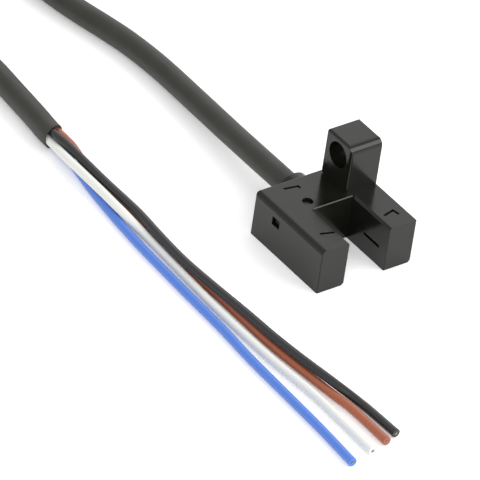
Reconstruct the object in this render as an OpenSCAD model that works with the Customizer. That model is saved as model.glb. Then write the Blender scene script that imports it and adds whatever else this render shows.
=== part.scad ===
// Fork sensor: a U-shaped photo micro-sensor with a mounting tab and a pre-wired cable.
// Millimetres, +Z up. The fork opens towards -Y and the cable leaves towards +Y.

/* [Fork body] */
// Width of each arm across the fork
arm_w = 4.1; // [3.9:0.1:6]
// Clear gap between the arms
slot_w = 6; // [5:0.5:12]
// Depth of the gap from the front of the arms
slot_depth = 7.5; // [7:0.5:14]
// Depth of the rear block that joins the arms
rear_l = 6.1; // [6:0.1:10]
// Height of the fork body
body_h = 6.3; // [5.6:0.1:9]
// Wall thickness around the body
wall = 0.8; // [0.75:0.05:0.85]
// Thickness of the top wall
roof_t = 0.8; // [0.6:0.05:0.9]
// Radius of the long top edge of the left arm
edge_r = 0.7; // [0.1:0.05:0.75]
// Radius of the top edges at the front of the arms
front_r = 0.05; // [0.05:0.05:0.4]
// Radius of the other outer edges
small_r = 0.15; // [0.05:0.05:0.4]
// Bevel along the top edges of the gap, on the arms
slot_bevel = 0.3; // [0.1:0.05:0.5]
// Bevel along the top edge at the back of the gap
slot_back_bevel = 0.1; // [0.05:0.05:0.4]
// Bevel along the lower right edge of each arm
lower_bevel = 0.4; // [0.1:0.05:0.4]
// Lead-in bevel at the mouth of the gap
mouth_bevel = 0.1; // [0.05:0.05:0.6]

/* [Mounting tab] */
// Width of the tab across the fork
tab_w = 4.7; // [3:0.1:6]
// Depth of the tab, front to back
tab_l = 4.85; // [4.2:0.05:5.5]
// Height of the tab above the body
tab_h = 6.5; // [4.5:0.1:12]
// Step from the back of the body to the back of the tab
tab_inset = 0.45; // [0:0.05:0.6]
// Radius of the tab's front top edge
tab_r = 1; // [0.2:0.05:1.2]
// Radius of the tab's upright edge towards the fork and of the top edge next to it
tab_edge_r = 0.35; // [0.05:0.05:0.6]
// Radius of the undercut at the back of the tab's foot
tab_foot_r = 0.45; // [0.1:0.05:0.6]
// Diameter of the screw hole, clearance for an M3 screw
hole_d = 3.4; // [2.7:0.1:3.6]
// Top of the tab down to the centre of the screw hole
hole_drop = 2.3; // [2.1:0.05:3]

/* [Beam] */
// Front of the arms to the optical axis
beam_from_front = 3; // [2.7:0.1:3.6]
// Height of the optical axis
beam_z = 2.65; // [2.5:0.05:3]
// Length of the beam slit
slit_l = 3.1; // [1:0.1:3.2]
// Height of the beam slit
slit_h = 0.4; // [0.2:0.05:0.8]
// Thickness of the infrared window
window_t = 0.5; // [0.4:0.05:0.6]
// Length of the infrared window
window_l = 3.8; // [3.4:0.1:4.2]
// Height of the infrared window above the board
window_h = 2.6; // [1.8:0.1:3]
// Depth of the window's seat in the arm wall
seat_d = 0.3; // [0.15:0.05:0.35]

/* [Top face] */
// Diameter of the indicator hole
pipe_d = 1.3; // [0.8:0.1:1.3]
// Middle of the fork to the indicator
pipe_x = 2.7; // [2.6:0.1:3.2]
// Back of the gap to the indicator
pipe_from_slot = 1.6; // [1.6:0.1:2]
// Depth of the light pipe below the top face
pipe_recess = 0.35; // [0:0.05:0.4]
// Width of the engraved marks
mark_w = 0.34; // [0.1:0.02:0.4]
// Depth of the engraved marks
mark_depth = 0.25; // [0.05:0.05:0.3]

/* [Bottom cover] */
// Thickness of the cover plate
cover_t = 0.7; // [0.5:0.05:0.9]
// Clearance of the cover and the board to the walls
cover_gap = 0.08; // [0.05:0.01:0.15]
// Length of each snap window along the body
snap_l = 1.45; // [0.8:0.05:1.5]
// Height of each snap window
snap_h = 1.15; // [0.8:0.05:1.2]
// Top of the body down to the snap window's centre
snap_from_top = 1.9; // [1.7:0.05:2.5]
// Back of the body to the snap window's centre
snap_from_back = 4.35; // [3.9:0.05:4.4]
// Thickness of each snap arm
snap_t = 0.45; // [0.35:0.05:0.5]
// Depth of the hook's face below the side of the body
snap_recess = 0.5; // [0.1:0.05:0.5]

/* [Circuit board] */
// Thickness of the circuit board
board_t = 0.6; // [0.4:0.1:0.8]
// Height of the pegs that carry the board
peg_h = 0.3; // [0.2:0.05:0.4]
// Diameter of the pegs and of the posts that hold the board down
post_d = 1; // [0.7:0.1:1.2]

/* [Cable] */
// Diameter of the cable
cable_d = 3.1; // [2.6:0.1:3.2]
// Diameter of each wire
wire_d = 1.12; // [0.8:0.02:1.12]
// Height of the cable's axis above the middle of the inside
cable_lift = 0.1; // [0:0.05:0.15]
// Diameter of the cable boss
boss_d = 4.6; // [4.2:0.1:5.4]
// Length of the cable boss
boss_l = 2; // [1:0.1:4]
// Clearance between the cable and its bore
bore_gap = 0.05; // [0.02:0.01:0.1]

/* [Hidden] */
$fn = 48;

// How far a cut reaches past a face, and how far joined shapes reach into each other
past = 0.5;
sink = 0.2;

// The body in plan
body_w = 2 * arm_w + slot_w;
body_l = slot_depth + rear_l;
side_x = body_w / 2;
slot_x = slot_w / 2;
front_y = -(body_l + boss_l) / 2;
slot_y = front_y + slot_depth;
back_y = front_y + body_l;
boss_y = back_y + boss_l;
beam_y = front_y + beam_from_front;

// Heights
roof_z = body_h - roof_t;
top_z = body_h + tab_h;
board_z = cover_t + peg_h;
board_top = board_z + board_t;
snap_z = body_h - snap_from_top;
cable_z = (cover_t + roof_z) / 2 + cable_lift;

// The mounting tab
tab_back = back_y - tab_inset;
tab_x = side_x - tab_w;
hole_y = tab_back - tab_l / 2;
hole_z = top_z - hole_drop;

// The inside of the case
inner_x = side_x - wall;
inner_front = front_y + wall;
inner_back = back_y - wall;
arm_x = slot_x + wall;
rear_y = slot_y + wall;

// The cable inside the case
clamp_l = 0.8;
clamp_gap = 0.05;
clamp_t = min(0.6, roof_z - cable_z - cable_d / 2 - clamp_gap);
jacket_past_clamp = 0.2;
jacket_y = inner_back - clamp_l - jacket_past_clamp;
board_to_jacket = 0.2;
notch_y = jacket_y - board_to_jacket;
notch_w = cable_d + 2 * clamp_t + 0.8;

// Parts of the beam, measured from the window outwards
window_x = arm_x - seat_d;
package_l = 3.4;
package_h = 2.2;
package_t = 1.2;
lens_r = 0.8;
lens_h = 0.4;
package_x = window_x + window_t + lens_h;
lead_t = 0.15;
lead_w = 0.4;
lead_foot = 0.35;
lead_rise = 0.7;

// Points of the engraved marks: the rear one from the middle of the back, the others from gap and beam
rear_mark = [[-3.7, -1.2], [-1.95, -1.5], [-1.9, -1.75]];
left_mark = [[-2.15, 0.05], [-0.65, -0.4]];
right_mark = [[1.15, -0.45], [2.6, -0.1], [2.75, -0.9]];

// The wire pads on the board
pad_pitch = 1.15;
pad_y = notch_y - 1.9;
solder_r = 0.5;
core_off = wire_d / 2 + 0.01;

// The coil of the cable that is put away
coil_x = -13;
coil_y = 86;
coil_turn_r = 17;
coil_columns = 2;
coil_layers = 4;
cable_rest = 0.05;
pitch = cable_d + 0.1;
coil_room = 0.4;
tie_w = 4;
tie_t = 0.4;

// Hand-chosen points of the cable and the wires, from the sensor outwards
lead_route = [
  [0, boss_y, cable_z], [0, boss_y + 2.7, cable_z], [0.25, 15.5, 2.9], [0.7, 21, 2.4], [1.15, 29, 2],
  [1.45, 37, 1.7], [1.1, 43, 1.6], [0.3, 47.5, 1.6], [-0.5, 51.2, 1.6], [-1.15, 55, 1.6], [-1.45, 59, 1.6],
  [-0.6, 62.9, 1.6], [1.3, 66.3, 1.6], [3.6, 69.5, 1.6], [5.1, 73.2, 1.6], [5.6, 77, 1.6], [5.6, 82, 1.6]
];
tail_route = [
  [-31.6, 82, 11.2], [-31.6, 76, 11.2], [-31.4, 72.4, 10.5], [-30.4, 69, 8.9], [-28.6, 66, 6.8],
  [-26.2, 63.2, 4.8], [-23.6, 60.5, 3.1], [-21, 57.6, 2], [-18.95, 54.2, 1.65], [-17.85, 50.5, 1.6],
  [-17.6, 46.6, 1.6], [-18.05, 40.5, 1.6], [-18.45, 35.5, 1.6], [-18.8, 32.2, 1.6], [-18.8, 31, 1.6]
];
brown_route = [
  [-18.05, 31, 1.87], [-18.05, 30, 1.87], [-17.85, 28.3, 1.5], [-18.15, 24.3, 0.7], [-18.45, 20.5, 0.6],
  [-18.45, 12, 0.6], [-18.38, 9, 0.6], [-18.65, 3, 0.6], [-18.77, 0.7, 0.6], [-18.6, -3.5, 0.6],
  [-18.58, -13, 0.6], [-18.3, -17.5, 0.6], [-17.6, -24.8, 0.6], [-17.2, -28.2, 0.6], [-17.17, -35.2, 0.6]
];
black_route = [
  [-19.07, 31, 2.35], [-19.07, 30, 2.35], [-18.83, 28.3, 2.2], [-18.66, 24.4, 1.9], [-18.62, 20.1, 1.76],
  [-18.6, 13.6, 1.76], [-18.87, 9.1, 1.67], [-19.07, 5.5, 1.64], [-19.15, 2.3, 1.67], [-18.98, -2.4, 1.73],
  [-18.55, -9.4, 1.76], [-18.33, -13.9, 1.75], [-17.95, -18, 1.74], [-17.5, -21.4, 1.71],
  [-17.08, -23.7, 1.6], [-16.68, -25.1, 1.37], [-16.12, -26.5, 0.97], [-15.75, -27.7, 0.71],
  [-15.5, -29.4, 0.6], [-15.3, -34.5, 0.6]
];
white_route = [
  [-19.55, 31, 1.33], [-19.55, 30, 1.33], [-19.9, 27.5, 1.6], [-20.05, 24.5, 1.74], [-20.15, 18.5, 1.77],
  [-20.18, 16.3, 1.72], [-20.08, 14.6, 1.55], [-19.86, 12.9, 1.2], [-19.62, 11.2, 0.85], [-19.55, 9.2, 0.62],
  [-19.83, 3, 0.6], [-20.18, -5.5, 0.6], [-20.12, -16, 0.6], [-19.6, -24, 0.6], [-19.66, -30, 0.6],
  [-19.78, -35.9, 0.6]
];
blue_route = [
  [-18.53, 31, 0.85], [-18.53, 30, 0.85], [-18.75, 28.2, 0.63], [-19.15, 25.8, 0.6], [-20.15, 20, 0.6],
  [-21.12, 11, 0.6], [-21.62, 1, 0.6], [-21.94, -8.7, 0.6], [-22.36, -15, 0.6], [-22.58, -23, 0.6],
  [-22.77, -29.5, 0.6], [-23.18, -36.5, 0.6]
];

// Removes a sharp corner of an outline: turn 0 is the lower left corner, and each 90 the next one round
module round_corner(at, turn, r) {
  translate(at) rotate(turn) difference() {
    translate([-past, -past]) square(r + past);
    translate([r, r]) circle(r);
  }
}

module bevel_corner(at, turn, c) {
  translate(at) rotate(turn) polygon([[-past, -past], [c + past, -past], [-past, c + past]]);
}

// Extrudes an outline drawn in X and Z along Y, from y_from towards +Y
module along_y(y_from, length) {
  translate([0, y_from + length, 0]) rotate([90, 0, 0]) linear_extrude(length) children();
}

// Extrudes an outline drawn in Y and Z along X, from x_from towards +X
module along_x(x_from, length) {
  translate([x_from, 0, 0]) rotate([90, 0, 90]) linear_extrude(length) children();
}

// A round bar along Y
module bar_y(x, y_from, z, length, d) {
  translate([x, y_from, z]) rotate([-90, 0, 0]) cylinder(h = length, d = d);
}

module block(from, to) {
  translate(from) cube(to - from);
}

// Places the same shape on both arms
module both_arms() {
  children();
  mirror([1, 0, 0]) children();
}

// The body's outline from above, with the gap and its lead-in bevels
module plan_outline() {
  difference() {
    translate([-side_x, front_y]) square([body_w, body_l]);
    round_corner([-side_x, front_y], 0, small_r);
    round_corner([side_x, front_y], 90, small_r);
    round_corner([side_x, back_y], 180, small_r);
    round_corner([-side_x, back_y], 270, small_r);
    bevel_corner([-slot_x, front_y], 90, mouth_bevel);
    bevel_corner([slot_x, front_y], 0, mouth_bevel);
    translate([-slot_x, front_y - past]) square([slot_w, slot_depth + past]);
  }
}

// The body's outline from the front
module front_outline() {
  difference() {
    translate([-side_x, 0]) square([body_w, body_h]);
    round_corner([-side_x, body_h], 270, edge_r);
    round_corner([side_x, body_h], 180, small_r);
    bevel_corner([side_x, 0], 90, lower_bevel);
  }
}

// The body's outline from the side
module side_outline() {
  difference() {
    translate([front_y, 0]) square([body_l, body_h]);
    round_corner([front_y, body_h], 270, front_r);
    round_corner([back_y, body_h], 180, small_r);
  }
}

module body_block() {
  difference() {
    intersection() {
      linear_extrude(body_h) plan_outline();
      along_y(front_y, body_l) front_outline();
      along_x(-side_x, body_w) side_outline();
    }
    along_y(front_y - past, slot_depth + past) {
      bevel_corner([-slot_x, body_h], 180, slot_bevel);
      bevel_corner([slot_x, body_h], 270, slot_bevel);
      bevel_corner([-slot_x, 0], 90, lower_bevel);
    }
    along_x(-slot_x, slot_w) bevel_corner([slot_y, body_h], 270, slot_back_bevel);
  }
}

module tab_block() {
  intersection() {
    along_x(tab_x, tab_w) difference() {
      translate([tab_back - tab_l, roof_z]) square([tab_l, top_z - roof_z]);
      round_corner([tab_back - tab_l, top_z], 270, tab_r);
      round_corner([tab_back, top_z], 180, small_r);
      round_corner([tab_back, body_h], 90, tab_foot_r);
    }
    linear_extrude(top_z) difference() {
      translate([tab_x, tab_back - tab_l]) square([tab_w, tab_l]);
      round_corner([tab_x, tab_back - tab_l], 0, tab_edge_r);
    }
    along_y(tab_back - tab_l, tab_l) difference() {
      translate([tab_x, roof_z]) square([tab_w, top_z - roof_z]);
      round_corner([tab_x, top_z], 270, tab_edge_r);
      round_corner([side_x, top_z], 180, small_r);
    }
  }
}

module cable_boss() {
  boss_edge = 0.3;
  bar_y(0, back_y - sink, cable_z, boss_l + sink - boss_edge, boss_d);
  translate([0, boss_y - boss_edge, cable_z]) rotate([-90, 0, 0])
    cylinder(h = boss_edge, r1 = boss_d / 2, r2 = boss_d / 2 - boss_edge);
}

// The inside of the case in plan, smaller by gap all round
module inner_outline(gap) {
  for (x = [arm_x, -inner_x])
    translate([x + gap, inner_front + gap])
      square([inner_x - arm_x - 2 * gap, inner_back - inner_front - 2 * gap]);
  translate([-inner_x + gap, rear_y + gap])
    square([2 * (inner_x - gap), inner_back - rear_y - 2 * gap]);
}

module window_seat() {
  block([window_x, beam_y - window_l / 2 - cover_gap, -past],
        [arm_x + sink, beam_y + window_l / 2 + cover_gap, board_top + window_h + cover_gap]);
}

module beam_slit() {
  block([slot_x - past, beam_y - slit_l / 2, beam_z - slit_h / 2],
        [window_x + sink, beam_y + slit_l / 2, beam_z + slit_h / 2]);
}

module snap_opening() {
  y = back_y - snap_from_back;
  block([inner_x - sink, y - snap_l / 2, snap_z - snap_h / 2],
        [side_x + past, y + snap_l / 2, snap_z + snap_h / 2]);
}

// A bar between two points of an outline, half its width longer at both ends
module stroke(from, to) {
  run = to - from;
  translate(from) rotate(atan2(run.y, run.x)) translate([-mark_w / 2, -mark_w / 2])
    square([norm(run) + mark_w, mark_w]);
}

module mark(origin, points) {
  translate(origin) for (i = [1:len(points) - 1]) stroke(points[i - 1], points[i]);
}

module marks() {
  translate([0, 0, body_h - mark_depth]) linear_extrude(mark_depth + past) {
    mark([0, back_y], rear_mark);
    mark([-slot_x, beam_y], left_mark);
    mark([slot_x, beam_y], right_mark);
  }
}

// Posts of the case hold the board down at the rear, and pegs of the cover carry it at front and rear
post_x = inner_x - post_d / 2 - sink;
post_y = inner_back - post_d / 2 - sink;
peg_y = inner_front + post_d / 2 + sink;
post_places = [[-post_x, post_y], [post_x, post_y]];
peg_places = concat(post_places, [[-post_x, peg_y], [post_x, peg_y]]);

module housing() {
  color([0.2, 0.2, 0.19]) {
    difference() {
      union() {
        body_block();
        tab_block();
        cable_boss();
      }
      translate([0, 0, -past]) linear_extrude(roof_z + past) inner_outline(0);
      both_arms() {
        window_seat();
        beam_slit();
        snap_opening();
      }
      marks();
      translate([-pipe_x, slot_y + pipe_from_slot, roof_z - past])
        cylinder(h = roof_t + 2 * past, d = pipe_d + 2 * bore_gap);
      bar_y(0, inner_back - past, cable_z, wall + boss_l + 2 * past, cable_d + 2 * bore_gap);
      translate([tab_x - past, hole_y, hole_z]) rotate([0, 90, 0])
        cylinder(h = tab_w + 2 * past, d = hole_d);
    }
    for (p = post_places)
      translate([p.x, p.y, board_top]) cylinder(h = roof_z + sink - board_top, d = post_d);
  }
}

// A snap arm on the right side, with its hook in the window
module snap_arm() {
  y = back_y - snap_from_back;
  arm_l = snap_l - 2 * cover_gap;
  outer = inner_x - cover_gap;
  hook_x = side_x - snap_recess;
  low = snap_z - snap_h / 2 + cover_gap;
  high = snap_z + snap_h / 2 - cover_gap;
  along_y(y - arm_l / 2, arm_l) polygon([
    [outer - snap_t, cover_t - sink], [outer, cover_t - sink], [outer, low], [hook_x, low],
    [hook_x, low + (high - low) / 2], [outer, high], [outer - snap_t, high]
  ]);
}

module bottom_cover() {
  color([0.17, 0.17, 0.17]) {
    linear_extrude(cover_t) inner_outline(cover_gap);
    both_arms() {
      snap_arm();
      block([window_x + cover_gap, beam_y - window_l / 2, 0],
            [arm_x + cover_gap + sink, beam_y + window_l / 2, cover_t]);
    }
    for (p = peg_places)
      translate([p.x, p.y, cover_t - sink]) cylinder(h = peg_h + sink, d = post_d);
  }
}

module circuit_board() {
  snap_y = back_y - snap_from_back;
  snap_room = snap_t + 3 * cover_gap;
  color([0.1, 0.35, 0.2]) translate([0, 0, board_z]) linear_extrude(board_t) difference() {
    inner_outline(cover_gap);
    translate([-notch_w / 2, notch_y]) square([notch_w, inner_back - notch_y]);
    for (x = [-inner_x, inner_x - snap_room])
      translate([x, snap_y - snap_l / 2]) square([snap_room, snap_l]);
  }
}

// Side-looking package on the right arm: it faces the gap, and its lens touches the window
module beam_package() {
  dome_r = (lens_r * lens_r + lens_h * lens_h) / (2 * lens_h);
  block([package_x, beam_y - package_l / 2, board_top],
        [package_x + package_t, beam_y + package_l / 2, board_top + package_h]);
  intersection() {
    translate([package_x - lens_h + dome_r, beam_y, beam_z]) sphere(dome_r);
    translate([package_x - lens_h, beam_y, beam_z]) rotate([0, 90, 0])
      cylinder(h = lens_h + sink, r = lens_r);
  }
}

// Bent leads behind the package, standing on the board
module beam_leads(count, spacing) {
  x = package_x + package_t;
  for (i = [0:count - 1])
    along_y(beam_y + (i - (count - 1) / 2) * spacing - lead_w / 2, lead_w) polygon([
      [x, board_top], [x + lead_foot, board_top], [x + lead_foot, board_top + lead_t],
      [x + lead_t, board_top + lead_t], [x + lead_t, board_top + lead_rise], [x, board_top + lead_rise]
    ]);
}

module beam_window() {
  block([window_x, beam_y - window_l / 2, board_top],
        [window_x + window_t, beam_y + window_l / 2, board_top + window_h]);
}

module emitter() {
  color([0.75, 0.8, 0.9]) mirror([1, 0, 0]) beam_package();
}

module emitter_leads() {
  color([0.8, 0.8, 0.78]) mirror([1, 0, 0]) beam_leads(2, 1.8);
}

module emitter_window() {
  color([0.22, 0.05, 0.06]) mirror([1, 0, 0]) beam_window();
}

module receiver() {
  color([0.12, 0.1, 0.12]) beam_package();
}

module receiver_leads() {
  color([0.8, 0.8, 0.78]) beam_leads(4, 0.8);
}

module receiver_window() {
  color([0.22, 0.05, 0.06]) beam_window();
}

led_w = 0.8;
led_l = 1.6;
led_h = 0.6;
led_y = slot_y + pipe_from_slot;

module indicator_led() {
  color([0.95, 0.85, 0.6]) block([-pipe_x - led_w / 2, led_y - led_l / 2 + sink, board_top],
                                 [-pipe_x + led_w / 2, led_y + led_l / 2 + sink, board_top + led_h]);
}

// A clear pin between the lamp and the top face, with a collar under the top wall
module light_pipe() {
  pipe_foot = board_top + led_h;
  collar_t = 0.4;
  collar_wider = 0.24;
  color([0.9, 0.6, 0.35]) translate([-pipe_x, led_y, 0]) {
    translate([0, 0, pipe_foot]) cylinder(h = body_h - pipe_recess - pipe_foot, d = pipe_d);
    translate([0, 0, roof_z - collar_t]) cylinder(h = collar_t, d = pipe_d + collar_wider);
  }
}

ic_l = 2.6;
ic_w = 1.8;
ic_h = 0.9;
ic_x = arm_x + 0.4;
ic_y = (rear_y + inner_back) / 2 - 0.4;
transistor_l = 2;
transistor_w = 1.2;
transistor_h = 0.9;
transistor_x = arm_x + 1.2;
transistor_gap = 0.7;
transistor_y = beam_y + package_l / 2 + transistor_gap + transistor_l / 2;
pin_w = 0.25;
pin_l = 0.3;
pin_t = 0.15;

module control_ic() {
  color([0.1, 0.1, 0.1]) block([ic_x - ic_l / 2, ic_y - ic_w / 2, board_top],
                               [ic_x + ic_l / 2, ic_y + ic_w / 2, board_top + ic_h]);
}

// One output transistor in each arm
module output_transistors() {
  color([0.1, 0.1, 0.1]) both_arms()
    block([transistor_x - transistor_w / 2, transistor_y - transistor_l / 2, board_top],
          [transistor_x + transistor_w / 2, transistor_y + transistor_l / 2, board_top + transistor_h]);
}

// A flat pin on the board
module pin(x, y, along_x) {
  size = along_x ? [pin_l, pin_w, pin_t] : [pin_w, pin_l, pin_t];
  translate([x - size.x / 2, y - size.y / 2, board_top]) cube(size);
}

module component_leads() {
  ic_pitch = 0.65;
  transistor_pitch = 0.65;
  color([0.8, 0.8, 0.78]) {
    for (i = [-1.5:1.5]) for (side = [-1, 1])
      pin(ic_x + i * ic_pitch, ic_y + side * (ic_w + pin_l) / 2, false);
    both_arms() {
      for (i = [-1, 1])
        pin(transistor_x - (transistor_w + pin_l) / 2, transistor_y + i * transistor_pitch, true);
      pin(transistor_x + (transistor_w + pin_l) / 2, transistor_y, true);
    }
  }
}

chip_l = 1;
chip_w = 0.5;
chip_h = 0.35;
chip_cap_l = 0.25;
chip_cap_t = 0.03;

// A chip part with raised ends, along X
module chip(x, y, higher) {
  translate([x, y, board_top]) {
    translate([-chip_l / 2, -chip_w / 2, 0]) cube([chip_l, chip_w, chip_h + higher]);
    for (end = [-chip_l / 2, chip_l / 2 - chip_cap_l])
      translate([end, -chip_w / 2 - chip_cap_t, 0])
        cube([chip_cap_l, chip_w + 2 * chip_cap_t, chip_h + higher + chip_cap_t]);
  }
}

chip_row_x = inner_x - 2.2;
chip_row_y = rear_y + 0.45;
chip_step = 0.8;

module chip_resistors() {
  color([0.15, 0.15, 0.16]) for (i = [0:2]) chip(-chip_row_x, rear_y + 2 + i * chip_step, 0);
}

module chip_capacitors() {
  color([0.7, 0.6, 0.45]) {
    chip(chip_l / 2 + 0.1, chip_row_y, 0.15);
    chip(-chip_l / 2 - 0.1, chip_row_y, 0.15);
  }
}

module cable_clamp() {
  color([0.75, 0.7, 0.55]) difference() {
    bar_y(0, inner_back - clamp_l, cable_z, clamp_l, cable_d + 2 * clamp_t);
    bar_y(0, inner_back - clamp_l - past, cable_z, clamp_l + 2 * past, cable_d + 2 * bore_gap);
  }
}

module cable_entry() {
  color([0.22, 0.22, 0.2]) bar_y(0, jacket_y, cable_z, boss_y - jacket_y, cable_d);
}

// A straight-sided tube swept along points: rings of sides corners, square to the route
function unit(v) = v / norm(v);
function heading(p, i) = unit(p[min(i + 1, len(p) - 1)] - p[max(i - 1, 0)]);
function across(t) = unit(cross(t, [0, 0, 1]));
function ring(c, t, r, sides) = [
  for (k = [0:sides - 1])
    c + r * (cos(360 * (k + 0.5) / sides) * across(t) + sin(360 * (k + 0.5) / sides) * cross(across(t), t))
];

module tube(route, d) {
  sides = 8;
  count = len(route);
  points = [for (i = [0:count - 1]) each ring(route[i], heading(route, i), d / 2, sides)];
  first = [for (k = [0:sides - 1]) k];
  last = [for (k = [sides - 1:-1:0]) (count - 1) * sides + k];
  walls = [
    for (i = [0:count - 2]) for (k = [0:sides - 1]) let (n = (k + 1) % sides) each [
      [i * sides + k, (i + 1) * sides + k, (i + 1) * sides + n],
      [i * sides + k, (i + 1) * sides + n, i * sides + n]
    ]
  ];
  polyhedron(points, concat([first, last], walls));
}

// A wire core from the jacket's end to its pad: side is -1 or 1, and the upper pair goes over the lower one
module core(side, upper) {
  straight = 0.15;
  x = side * pad_pitch * (upper ? 1.5 : 0.5);
  rest_z = board_top + wire_d / 2 + cover_gap;
  start_x = side * core_off;
  start_z = cable_z + (upper ? core_off : -core_off);
  over = upper ? 0.35 : 0;
  tube([
    [start_x, jacket_y, start_z], [start_x, jacket_y - straight, start_z],
    [(start_x + x) / 2 + side * over, (jacket_y + pad_y) / 2, (start_z + rest_z) / 2 + over],
    [x, pad_y + straight, rest_z], [x, pad_y, rest_z]
  ], wire_d);
}

module brown_core() {
  color([0.6, 0.26, 0.16]) core(1, true);
}

module black_core() {
  color([0.12, 0.12, 0.12]) core(1, false);
}

module white_core() {
  color([0.92, 0.92, 0.88]) core(-1, true);
}

module blue_core() {
  color([0.2, 0.4, 0.85]) core(-1, false);
}

module solder_joints() {
  color([0.75, 0.76, 0.78]) for (i = [0:3])
    translate([(i - 1.5) * pad_pitch, pad_y, board_top]) intersection() {
      sphere(solder_r);
      translate([-solder_r, -solder_r, 0]) cube([2 * solder_r, solder_r, solder_r]);
    }
}

cable_grey = [0.24, 0.24, 0.22];

module cable_lead() {
  color(cable_grey) tube(lead_route, cable_d);
}

module cable_tail() {
  color(cable_grey) tube(tail_route, cable_d);
}

// The coil's outer shape: a ring of columns and layers of turns
coil_half_w = coil_columns * pitch / 2;
coil_h = coil_layers * pitch;

// The room for the bundle inside the tie
module tie_opening() {
  translate([coil_x - tie_w / 2 - past, coil_y + coil_turn_r - coil_half_w + tie_t, cable_rest + tie_t])
    cube([tie_w + 2 * past, 2 * (coil_half_w - tie_t), coil_h - 2 * tie_t]);
}

// A band across the far side of the coil, wider than the bundle by wider
module tie_band(wider) {
  difference() {
    translate([coil_x - tie_w / 2, coil_y + coil_turn_r - coil_half_w - wider, cable_rest])
      cube([tie_w, 2 * (coil_half_w + wider), coil_h + wider]);
    tie_opening();
  }
}

module cable_coil() {
  lead_end = lead_route[len(lead_route) - 1];
  tail_start = tail_route[0];
  color(cable_grey) difference() {
    translate([coil_x, coil_y, cable_rest]) rotate_extrude($fn = 64)
      translate([coil_turn_r - coil_half_w, 0]) difference() {
        square([2 * coil_half_w, coil_h]);
        round_corner([0, 0], 0, cable_d / 2);
        round_corner([2 * coil_half_w, 0], 90, cable_d / 2);
        round_corner([2 * coil_half_w, coil_h], 180, cable_d / 2);
        round_corner([0, coil_h], 270, cable_d / 2);
      }
    block([lead_end.x - pitch / 2 - coil_room, lead_end.y - 2 * coil_turn_r, lead_end.z - pitch],
          [lead_end.x + pitch, lead_end.y, lead_end.z + pitch / 2]);
    block([tail_start.x - pitch, tail_start.y - 2 * coil_turn_r, tail_start.z - pitch / 2],
          [tail_start.x + pitch / 2 + coil_room, tail_start.y, tail_start.z + pitch]);
    translate([0, 0, -past]) tie_band(past);
    tie_band(past);
  }
}

module coil_tie() {
  color([0.1, 0.1, 0.1]) tie_band(tie_t / 2);
}

module brown_wire() {
  color([0.62, 0.28, 0.18]) tube(brown_route, wire_d);
}

module black_wire() {
  color([0.13, 0.13, 0.13]) tube(black_route, wire_d);
}

module white_wire() {
  color([0.93, 0.93, 0.89]) tube(white_route, wire_d);
}

module blue_wire() {
  color([0.22, 0.43, 0.85]) tube(blue_route, wire_d);
}

housing();
bottom_cover();
circuit_board();
emitter();
emitter_leads();
emitter_window();
receiver();
receiver_leads();
receiver_window();
indicator_led();
light_pipe();
control_ic();
output_transistors();
component_leads();
chip_resistors();
chip_capacitors();
cable_clamp();
cable_entry();
brown_core();
black_core();
white_core();
blue_core();
solder_joints();
cable_lead();
cable_coil();
coil_tie();
cable_tail();
brown_wire();
black_wire();
white_wire();
blue_wire();
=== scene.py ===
"""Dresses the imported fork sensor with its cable, wires and finishes, in a studio with a camera."""

import logging
import math
from abc import ABC, abstractmethod
from collections.abc import Callable, Sequence
from dataclasses import dataclass, field, replace
from enum import Enum
from typing import Any

import bpy
from mathutils import Matrix, Vector


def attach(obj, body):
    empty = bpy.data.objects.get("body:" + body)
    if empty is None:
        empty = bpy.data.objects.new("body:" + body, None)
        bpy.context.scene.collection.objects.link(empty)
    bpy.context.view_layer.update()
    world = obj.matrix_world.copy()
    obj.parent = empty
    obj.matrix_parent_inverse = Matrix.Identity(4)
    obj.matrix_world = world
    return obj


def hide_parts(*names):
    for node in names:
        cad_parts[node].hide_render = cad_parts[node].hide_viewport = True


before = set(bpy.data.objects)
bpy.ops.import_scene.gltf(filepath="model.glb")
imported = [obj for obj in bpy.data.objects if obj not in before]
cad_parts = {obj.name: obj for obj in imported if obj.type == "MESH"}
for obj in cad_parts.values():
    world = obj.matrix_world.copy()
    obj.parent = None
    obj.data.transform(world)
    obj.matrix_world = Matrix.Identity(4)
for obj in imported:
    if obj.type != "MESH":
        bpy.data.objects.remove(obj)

LOG = logging.getLogger("fork_sensor")
MM = 0.001
SKIN_UV = "skin"

Colour = tuple[float, float, float]
Point = tuple[float, float, float]
Socket = bpy.types.NodeSocket


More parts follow.
